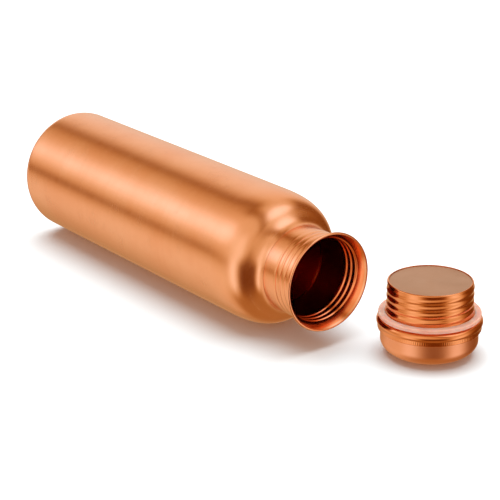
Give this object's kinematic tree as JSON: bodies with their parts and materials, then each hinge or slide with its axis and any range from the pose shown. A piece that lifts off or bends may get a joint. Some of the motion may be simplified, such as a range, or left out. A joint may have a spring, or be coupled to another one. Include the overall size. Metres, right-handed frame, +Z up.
{
  "type": "copper water bottle",
  "caption": "Copper water bottle lying on its side: cylindrical body, domed shoulder, flared threaded neck; its domed screw cap with silicone ring stands beside the mouth.",
  "frame": {"origin": "on the ground plane, under the middle of the bounding box of bottle and cap together", "axes": "+X along the bottle from its base to its mouth, +Y towards the side where the cap stands, +Z up"},
  "size_m": [0.318, 0.102, 0.074],
  "materials": {
    "copper_satin": "satin, brushed round the axis",
    "copper_bright": "polished",
    "copper_matt": "matt",
    "silicone": "translucent satin"
  },
  "bodies": {
    "bottle": {"body_shell": "copper_satin", "base_plate": "copper_satin", "threaded_neck": "copper_satin"},
    "cap_carry": {"cap_end_disc": "copper_matt"},
    "cap_advance": {"cap_gasket": "silicone"},
    "cap": {"cap_dome": "copper_satin", "cap_bead_ring": "copper_bright", "cap_plug": "copper_bright"}
  },
  "joints": [
    {"name": "cap_swing", "type": "hinge", "parent": "bottle", "child": "cap_carry", "pos_m": [0.11536, 0.00532, 0.02224], "axis": [0.611, -0.5034, -0.611], "range_deg": [0, 126.56]},
    {"name": "cap_travel", "type": "slide", "parent": "cap_carry", "child": "cap_advance", "axis": [0, 0, 1], "range_m": [0, 0.0185]},
    {"name": "cap_turn", "type": "hinge", "parent": "cap_advance", "child": "cap", "pos_m": [0.1315, 0.0235, 0], "axis": [0, 0, 1], "range_deg": [0, 1800]}
  ],
  "couplings": [
    {"joint": "cap_travel", "follows": "cap_turn", "m_per_rad": 0.00058887}
  ]
}
